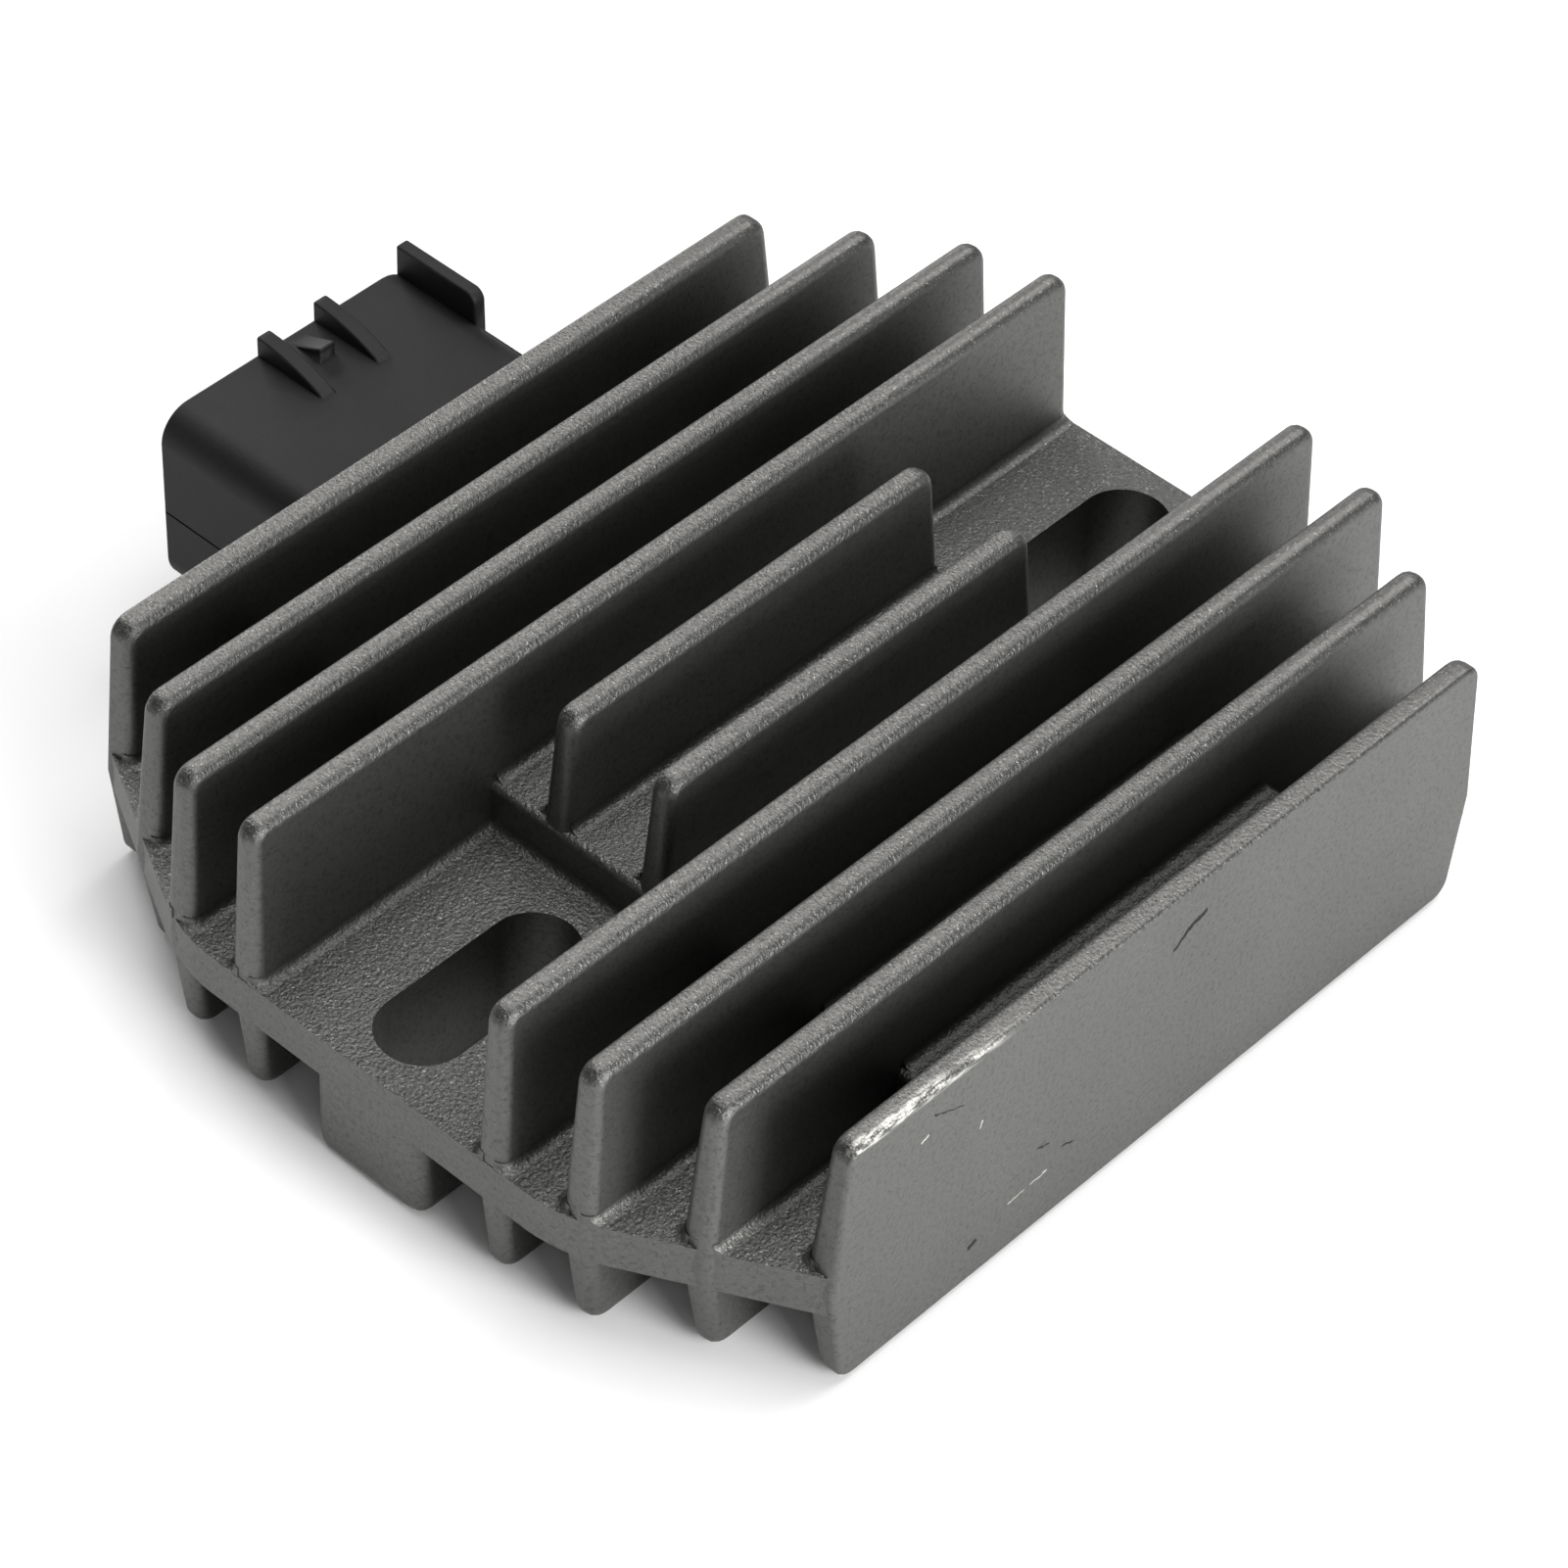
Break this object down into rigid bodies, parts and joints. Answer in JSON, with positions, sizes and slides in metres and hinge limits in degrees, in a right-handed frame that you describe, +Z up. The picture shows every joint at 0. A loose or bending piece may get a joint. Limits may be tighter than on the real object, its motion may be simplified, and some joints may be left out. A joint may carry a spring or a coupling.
{
  "type": "voltage regulator rectifier",
  "caption": "Finned die-cast voltage regulator rectifier with two slotted mounting feet, a black blade connector on one side and a potted rectifier circuit underneath.",
  "frame": {"origin": "on the mounting face of the two feet, midway between the two slots", "axes": "+X across the fins, away from the connector; +Y along the fins, away from the picture's camera; +Z up, from the mounting face to the fin tips"},
  "size_m": [0.103, 0.1, 0.0305],
  "materials": {
    "cast_aluminium": "shot-blasted dark grey casting",
    "housing_plastic": "black moulded",
    "tinned_brass": "tinned",
    "alumina": "plain",
    "device_epoxy": "moulded",
    "board_laminate": "laminate",
    "bus_copper": "bare copper",
    "capacitor_can": "bright can",
    "potting_resin": "filled resin"
  },
  "bodies": {
    "root": {"heat_sink": "cast_aluminium", "connector_housing": "housing_plastic", "blade_phase_a": "tinned_brass", "blade_phase_b": "tinned_brass", "blade_phase_c": "tinned_brass", "blade_positive": "tinned_brass", "blade_sense": "tinned_brass", "blade_ground": "tinned_brass", "insulating_plate": "alumina", "thyristor_a": "device_epoxy", "thyristor_b": "device_epoxy", "thyristor_c": "device_epoxy", "diode_a": "device_epoxy", "diode_b": "device_epoxy", "diode_c": "device_epoxy", "circuit_board": "board_laminate", "positive_bus_bar": "bus_copper", "ground_bus_bar": "bus_copper", "control_chip": "device_epoxy", "capacitor": "capacitor_can", "voltage_reference": "device_epoxy", "gate_resistor_a": "alumina", "gate_resistor_b": "alumina", "gate_resistor_c": "alumina", "potting_compound": "potting_resin"}
  },
  "joints": []
}
